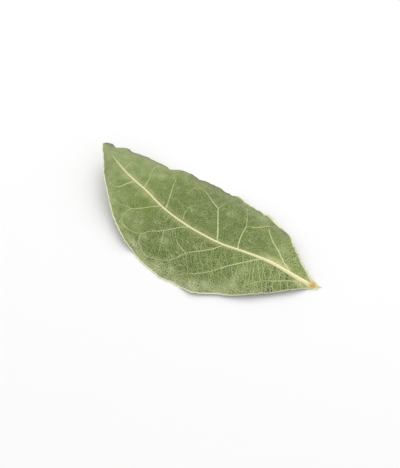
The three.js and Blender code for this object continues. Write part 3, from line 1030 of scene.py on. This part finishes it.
def has_ended(here, step):
    """Which rungs have met a vein or the midrib, or have come near the margin."""
    _, _, rib_gap, rib_half, edge_gap, nearness, _ = shape_leaf(*here.T)
    margin = RUNG_MARGIN + (RUNG_MARGIN_AT_STALK - RUNG_MARGIN) * ladder_share(*here.T)
    return (edge_gap < margin) | (step > FIRST_STEPS) & ((nearness < 1) | (rib_gap < rib_half))


def grow_rungs():
    """Lines of (station, across) places, one for each rung."""
    random = np.random.default_rng(RUNG_SEED)
    starts = rung_starts(random)
    here, side = starts[:, :2].copy(), starts[:, 2]
    heading = np.where(side == FRONT, RUNG_HEADING[FRONT], RUNG_HEADING[REAR])
    heading = heading + random.normal(0, START_TURN, len(here))
    grows = np.ones(len(here), bool)
    trail, lengths = [here.copy()], np.zeros(len(here), int)
    for step in range(RUNG_STEPS):
        heading = heading + random.normal(0, STEP_TURN, len(here))
        move = RUNG_STEP * np.stack([np.cos(heading), np.sin(heading)], 1)
        here[grows] += plan_step_in_leaf(*here[grows].T, move[grows])
        here[:, 0] = np.clip(here[:, 0], END_STATIONS, LAST_STATION - END_STATIONS)
        here[:, 1] = side * np.clip(side * here[:, 1], LEAST_ACROSS, MOST_ACROSS)
        lengths += grows
        trail.append(here.copy())
        grows &= ~has_ended(here, step)
    lines = []
    for line, long in zip(np.array(trail).swapaxes(0, 1), lengths):
        line = line[: long + 1]
        _, _, rib_gap, rib_half, *_ = shape_leaf(*line.T)
        line = line[rib_gap > RIB_OVERLAP * rib_half]
        if len(line) * RUNG_STEP > LEAST_RUNG:
            lines.append(line)
    return lines


rungs = grow_rungs()
print(len(rungs), "rungs")

# %% [markdown]
# ## Veinlets
# The rungs could be cut into the blade, but they are so thin that its mesh would need many times the
# faces. So each is a fine tube, half sunk in the blade. A curve with a bevel makes all the tubes at
# once: each rung is a spline, and its radius tapers at both ends.

# %% Tubes
RUNG_RADIUS = 0.11
TAPER_FROM, TAPER_TO = 0.25, math.pi - 0.35  # the part of a sine wave that a rung's radius follows
PLAIN_RUNG = 0.5  # a rung outside the ladder is this share of the radius
bpy.ops.object.add(type="CURVE", location=(0, 0, 0))
veinlets = bpy.context.object
veinlets.name = "bay_leaf_veinlets"
curve = veinlets.data
curve.dimensions = "3D"
curve.bevel_depth = RUNG_RADIUS * MM
curve.bevel_resolution = 0
curve.use_fill_caps = True
for line in rungs:
    rung_place, rung_rise, *_ = shape_leaf(*line.T)
    rung_place[:, 2] += BLADE_THICK + rung_rise
    rung_place = (rung_place + TO_FRAME) * MM
    spline = curve.splines.new("POLY")
    spline.points.add(len(line) - 1)
    spline.points.foreach_set("co", np.hstack([rung_place, np.ones((len(line), 1))]).ravel())
    taper = np.sin(np.linspace(TAPER_FROM, TAPER_TO, len(line))) ** 0.5
    radius = taper * (PLAIN_RUNG + (1 - PLAIN_RUNG) * ladder_share(*line.T))
    spline.points.foreach_set("radius", radius)
only(veinlets)
bpy.ops.object.convert(target="MESH")
veinlets = bpy.context.object
bpy.ops.object.shade_smooth()
veinlets.data.materials.clear()
veinlets.data.materials.append(bpy.data.materials.new("pale_veinlet"))
print("the veinlets have", len(veinlets.data.polygons), "faces")

# %% [markdown]
# ## One helper for shader nodes
# A node tree is a list of nodes, each with settings of its own and sockets that take either a number or
# another node's output. One function can add any of them.


# %% Node helper
def add_node(tree, kind, inputs=None, **settings):
    """Add a shader node, change its settings, and set or link its sockets by name or number."""
    node = tree.nodes.new(kind)
    for name, value in settings.items():
        setattr(node, name, value)
    for socket, value in (inputs or {}).items():
        if isinstance(value, bpy.types.NodeSocket):
            tree.links.new(value, node.inputs[socket])
        else:
            node.inputs[socket].default_value = value
    return node


for material in leaf.data.materials[:] + veinlets.data.materials[:]:
    material.use_nodes = True
    print(material.name, "starts with", len(material.node_tree.nodes), "nodes")

# %% [markdown]
# ## Places for the patterns
# A pattern is read at a place. Most are read at the plain place on the leaf, in millimetres. The fine
# mosaic is read at a gently warped place, so that its cells don't look drawn. The net between the side
# veins is read along and across them, and the fringe along the midrib, both from the places kept above.

# %% Pattern places
PER_METRE = 1000
WARP_MM, WARP_FAR_MM = 2.0, 0.5
NET_LONG_MM, NET_WIDE_MM = 1.9, 1.4
STROKE_GAP_MM, STROKE_LONG_MM = 0.68, 5


def leaf_places(tree, net_place, fringe_place):
    """The places that the patterns are read at, by name."""
    in_metres = add_node(tree, "ShaderNodeTexCoord").outputs["Object"]
    inputs = {"Vector": in_metres, "Scale": (PER_METRE,) * 3}
    plain = add_node(tree, "ShaderNodeMapping", inputs).outputs[0]
    inputs = {"Vector": plain, "Scale": 1 / WARP_MM, "Detail": 1}
    warp = add_node(tree, "ShaderNodeTexNoise", inputs).outputs["Color"]
    places = {"plain": plain, "fringe": fringe_place}
    for name, start in (("warped", plain), ("net", net_place)):
        inputs = {0: warp, 1: (WARP_FAR_MM,) * 3, 2: start}
        moved = add_node(tree, "ShaderNodeVectorMath", inputs, operation="MULTIPLY_ADD")
        places[name] = moved.outputs[0]
    for name, wide, long in (
        ("net", NET_WIDE_MM, NET_LONG_MM), ("fringe", STROKE_GAP_MM, STROKE_LONG_MM),
    ):
        inputs = {"Vector": places[name], "Scale": (1 / wide, 1 / long, 1)}
        places[name] = add_node(tree, "ShaderNodeMapping", inputs).outputs[0]
    return places


print("the net's cells are", NET_LONG_MM, "by", NET_WIDE_MM, "mm")

# %% [markdown]
# ## Patterns
# Close up, a leaf is a mosaic of dark green islets, half a millimetre wide, walled in by pale veinlets.
# Over that lie broad tones, patches and clouds. Each is a noise or a cell texture with its real size in
# millimetres. The islets are drawn a little coarser than life, so that they show from a hand's breadth
# away. The fringe is a wave texture with strong distortion, which makes uneven strokes.

# %% Patterns
MESH_MM, PIT_MM, SPECK_MM, BEAD_MM = 0.68, 0.42, 8, 0.9
TONE_MM, PATCH_MM, WAX_SHEEN_MM, CLOUD_MM = 9, 2.4, 3.0, 3.4
NOISES = {  # the place, the size in millimetres and the detail of each noise
    "tone_noise": ("plain", TONE_MM, 2),
    "uneven_noise": ("plain", TONE_MM / 2, 2),
    "patch_noise": ("plain", PATCH_MM, 4),
    "cloud_noise": ("warped", CLOUD_MM, 4),
    "wax_sheen_noise": ("plain", WAX_SHEEN_MM, 4),
    "bead_noise": ("plain", BEAD_MM, 2),
    "haze_noise": ("plain", BEAD_MM, 3),
    "net_noise": ("plain", NET_LONG_MM, 2),
    "pit_noise": ("plain", PIT_MM, 1),
}
CELLS = {  # the place, the size, the distance that is measured and the dimensions of each cell texture
    "mesh_gap": ("warped", MESH_MM, "DISTANCE_TO_EDGE", "2D"),
    "net_gap": ("net", 1, "DISTANCE_TO_EDGE", "3D"),  # its place is already scaled to its cells
    "speck_gap": ("plain", SPECK_MM, "F1", "2D"),
}
WAVE_TURN = math.pi / 10  # makes one wave of the wave texture one unit long
STROKES = {"Scale": WAVE_TURN, "Distortion": 2.5, "Detail": 1, "Detail Scale": 3}


def leaf_patterns(tree, places):
    """The outputs of all the pattern nodes, by name."""
    patterns = {}
    for name, (where, size, detail) in NOISES.items():
        inputs = {"Vector": places[where], "Scale": 1 / size, "Detail": detail}
        patterns[name] = add_node(tree, "ShaderNodeTexNoise", inputs).outputs[0]
    for name, (where, size, distance, dimensions) in CELLS.items():
        inputs = {"Vector": places[where], "Scale": 1 / size}
        settings = {"feature": distance, "voronoi_dimensions": dimensions}
        cells = add_node(tree, "ShaderNodeTexVoronoi", inputs, **settings)
        patterns[name] = cells.outputs["Distance"]
    strokes = add_node(tree, "ShaderNodeTexWave", {"Vector": places["fringe"], **STROKES})
    patterns["strokes"] = strokes.outputs["Fac"]
    return patterns


print(len(NOISES), "noises and", len(CELLS), "cell textures")

# %% [markdown]
# ## Masks
# A mask says how strongly a layer of colour shows at each point. It goes softly from its least value,
# where its source has the first number, to 1, where its source has the second, and is then multiplied by
# other masks or kept attributes. A mask may have the name of the attribute that it is multiplied by, and
# takes its place from then on.

# %% Masks
MASKS = {  # the source, the two numbers, the least value and what the mask is multiplied by
    "crisp": ("uneven_noise", 0.35, 0.6, 0.6, ["crisp"]),
    "beads": ("bead_noise", 0.35, 0.6, 0.7, []),
    "broken": ("net_noise", 0.4, 0.6, 0.3, []),
    "tone": ("tone_noise", 0.35, 0.68, 0, []),
    "cloud": ("cloud_noise", 0.48, 0.72, 0, []),
    "patch": ("patch_noise", 0.38, 0.66, 0, []),
    # The grey mask is a painted sheen and shade. The wax mask is a real bloom with a painted sheen laid
    # over it.
    "grey_sheen_and_shade": ("uneven_noise", 0.2, 0.6, 0.4, ["grey_sheen_and_shade"]),
    "wax_and_sheen": ("wax_sheen_noise", 0.3, 0.56, 0.75, ["wax_and_sheen"]),
    "islet": ("mesh_gap", 0.04, 0.22, 0, ["crisp"]),
    "mesh": ("mesh_gap", 0.14, 0.02, 0, ["crisp"]),
    "pit": ("pit_noise", 0.38, 0.6, 0, ["crisp"]),
    "net": ("net_gap", 0.1, 0.01, 0, ["broken", "crisp"]),
    "speck": ("speck_gap", 0.06, 0.02, 0, []),
    "haze": ("haze_noise", 0.3, 0.6, 0.45, ["haze"]),
    "fringe": ("strokes", 0.35, 0.95, 0.3, ["fringe"]),
    "vein": ("vein_halves", 1.15, 0.5, 0, ["vein_pale", "beads"]),
    "rib": ("rib_halves", 1.1, 0.7, 0, ["rib_pale"]),
    "rib_gold": ("rib_halves", 1.1, 0.7, 0, ["rib_pale", "gold"]),
    "rim": ("rim_widths", 1.4, 0.8, 0, ["rim_pale", "beads"]),
    "gold_line": ("bead_noise", 0.35, 0.6, 0.7, ["gold_line"]),
}


def leaf_masks(tree, sources):
    """The outputs of all the masks, by name, with the patterns and attributes they come from."""
    masks = dict(sources)
    for name, (source, start, end, least, factors) in MASKS.items():
        inputs = {"Value": masks[source], "From Min": start, "From Max": end, "To Min": least}
        ramp = add_node(tree, "ShaderNodeMapRange", inputs, interpolation_type="SMOOTHSTEP")
        mask = ramp.outputs[0]
        for factor in factors:
            inputs = {0: mask, 1: masks[factor]}
            mask = add_node(tree, "ShaderNodeMath", inputs, operation="MULTIPLY").outputs[0]
        masks[name] = mask
    return masks


print(len(MASKS), "masks")

# %% [markdown]
# ## Painting a face
# Both faces share that build, so one function paints them from two lists of coloured layers, each laid
# over the one before. Islets, pits and patches only darken what is under them. The walls of the mosaic
# stand a little higher than its islets: a bump of three hundredths of a millimetre, too fine for the
# mesh, gives that. A leaf's cuticle is a waxy film, so its refraction is that of wax.

# %% Leaf paint
SHADES = ("islet", "patch", "deep", "pit")  # layers that darken what is under them
CUTICLE_IOR = 1.42
MOSAIC_DEEP, MOSAIC_STRENGTH = 0.00003, 0.7


def paint_leaf_face(name, ground, layers, roughness):
    """Paint one face: layers are (name, colour, strength) from the lowest to the topmost."""
    tree = bpy.data.materials[name].node_tree
    shader = tree.nodes["Principled BSDF"]
    kept = {
        key: add_node(tree, "ShaderNodeAttribute", attribute_name=key).outputs
        for key in [*KEPT, "grain", "rib_frame"]
    }
    places = leaf_places(tree, kept["grain"]["Vector"], kept["rib_frame"]["Vector"])
    sources = {key: outputs["Fac"] for key, outputs in kept.items()}
    masks = leaf_masks(tree, {**sources, **leaf_patterns(tree, places)})

    paint = linear(ground)
    for layer, colour, strength in layers:
        inputs = {0: masks[layer], 1: strength}
        share = add_node(tree, "ShaderNodeMath", inputs, operation="MULTIPLY").outputs[0]
        way = "MULTIPLY" if layer in SHADES else "MIX"
        inputs = {0: share, 6: paint, 7: linear(colour)}
        mixed = add_node(tree, "ShaderNodeMix", inputs, data_type="RGBA", blend_type=way)
        paint = mixed.outputs[2]
    tree.links.new(paint, shader.inputs["Base Color"])
    shader.inputs["Roughness"].default_value = roughness
    shader.inputs["IOR"].default_value = CUTICLE_IOR

    inputs = {0: masks["mesh"], 1: masks["islet"]}
    height = add_node(tree, "ShaderNodeMath", inputs, operation="SUBTRACT").outputs[0]
    inputs = {"Height": height, "Distance": MOSAIC_DEEP, "Strength": MOSAIC_STRENGTH}
    bump = add_node(tree, "ShaderNodeBump", inputs)
    tree.links.new(bump.outputs[0], shader.inputs["Normal"])
    print(name, "has", len(layers), "layers and", len(tree.nodes), "nodes")


# %% [markdown]
# ## Waxy lower face
# This is the face that is up. A thin wax makes it matt and greyer than the other face, and a painted
# sheen greys it more, most of all along the front margin. Painted shade darkens the rolled margin and
# the tip, and the veins stand out pale.

# %% Lower face
paint_leaf_face(
    "waxy_lower_face",
    ground="#778c38",
    layers=[
        ("tone", "#839549", 0.5), ("tip", "#a1ad7d", 0.75), ("stalk", "#b0bf6c", 0.8),
        # The grey and wax layers hold a painted sheen, the wax over a real bloom.
        ("cloud", "#a9b683", 0.45), ("grey_sheen_and_shade", "#a2a681", 0.7), ("wax_and_sheen", "#f1f4ca", 0.92),
        ("patch", "#b9c29c", 0.4), ("deep", "#c4cba4", 0.7), ("islet", "#929a86", 0.45),
        ("pit", "#a9b09c", 0.48), ("net", "#b7c485", 0.36), ("mesh", "#c8d497", 0.33),
        # The rolled-margin layer here and the dark-tip layer below are painted shade.
        ("haze", "#dcd8a0", 0.75), ("speck", "#c3ca9c", 0.3), ("curl_and_tip_shade", "#70775f", 0.6),
        ("bent_tip_shade", "#5f6b49", 0.55), ("gold_line", "#bfc070", 1.0), ("vein", "#d6dca4", 0.97),
        ("fringe", "#c2bc84", 0.55), ("rim", "#ece9c4", 0.95), ("rib", "#f0f1bc", 1.0),
        ("rib_gold", "#fff6c2", 0.9), ("torn", "#cfa94e", 0.9), ("notch", "#7a5f26", 0.8),
    ],
    roughness=0.6,
)

# %% [markdown]
# ## Olive upper face
# The upper face lies down here. It is smoother and yellower, an olive that browned a little in drying,
# with the same veins drawn finer.

# %% Upper face
paint_leaf_face(
    "olive_upper_face",
    ground="#9a9c50",
    layers=[
        ("tone", "#a2a35c", 0.5), ("tip", "#98954f", 0.4), ("stalk", "#9c9c54", 0.5),
        ("patch", "#bcbc9f", 0.4), ("islet", "#a3a57c", 0.4), ("net", "#b9ba77", 0.3),
        ("mesh", "#bfc084", 0.25), ("vein", "#c0c07c", 0.7), ("fringe", "#a38f52", 0.4),
        # The dark tip layer is painted shade.
        ("rim", "#dcd9ac", 0.9), ("rib", "#d6cf90", 1.0), ("bent_tip_shade", "#6f6536", 0.7),
        ("torn", "#b98d47", 0.9), ("notch", "#7a5f26", 0.8),
    ],
    roughness=0.5,
)

# %% [markdown]
# ## Horny rim
# A thin band of clear, horny tissue edges the blade. Dried, it is the colour of straw and shines a
# little. The veinlets are the same tissue as the side veins, seen through a little wax, so they are
# greener and duller. Both are unevenly pale, like a string of beads, and the veinlets are palest in the
# ladder near the stalk.

# %% Rim and veinlets
LADDER_X, LADDER_Y = (10, 18), (6, 3)  # where the plain ladder begins and is full, in millimetres
veinlet_place = vertex_array(veinlets.data) / MM
ladder = smooth_step(veinlet_place[:, 0], *LADDER_X) * smooth_step(veinlet_place[:, 1], *LADDER_Y)
store(veinlets.data, "rim_pale", ladder)
for name, dim, pale, roughness in (
    ("horny_rim", "#a9ab78", "#efecca", 0.45),
    ("pale_veinlet", "#9cab6b", "#bbc684", 0.6),
):
    tree = bpy.data.materials[name].node_tree
    shader = tree.nodes["Principled BSDF"]
    rim_pale = add_node(tree, "ShaderNodeAttribute", attribute_name="rim_pale").outputs["Fac"]
    in_metres = add_node(tree, "ShaderNodeTexCoord").outputs["Object"]
    inputs = {"Vector": in_metres, "Scale": PER_METRE / BEAD_MM, "Detail": NOISES["bead_noise"][2]}
    bead_noise = add_node(tree, "ShaderNodeTexNoise", inputs).outputs[0]
    _, start, end, least, _ = MASKS["beads"]
    inputs = {"Value": bead_noise, "From Min": start, "From Max": end, "To Min": least}
    beads = add_node(tree, "ShaderNodeMapRange", inputs, interpolation_type="SMOOTHSTEP").outputs[0]
    inputs = {0: beads, 1: rim_pale}
    share = add_node(tree, "ShaderNodeMath", inputs, operation="MULTIPLY").outputs[0]
    inputs = {0: share, 6: linear(dim), 7: linear(pale)}
    paint = add_node(tree, "ShaderNodeMix", inputs, data_type="RGBA").outputs[2]
    tree.links.new(paint, shader.inputs["Base Color"])
    shader.inputs["Roughness"].default_value = roughness
    print(name, "has", len(tree.nodes), "nodes")

# %% [markdown]
# ## One piece
# The blade and its veinlets grew as one leaf, so they are joined into one mesh.

# %% Join
only(leaf)
veinlets.select_set(True)
bpy.ops.object.join()
triangles = sum(len(face.vertices) - 2 for face in leaf.data.polygons)
print("with its veinlets the leaf has", triangles, "triangles")

# %% [markdown]
# ## Handing the leaf over
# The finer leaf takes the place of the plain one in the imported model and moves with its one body.

# %% Hand the leaf to the frame
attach(leaf, "root")
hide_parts("bay_leaf")
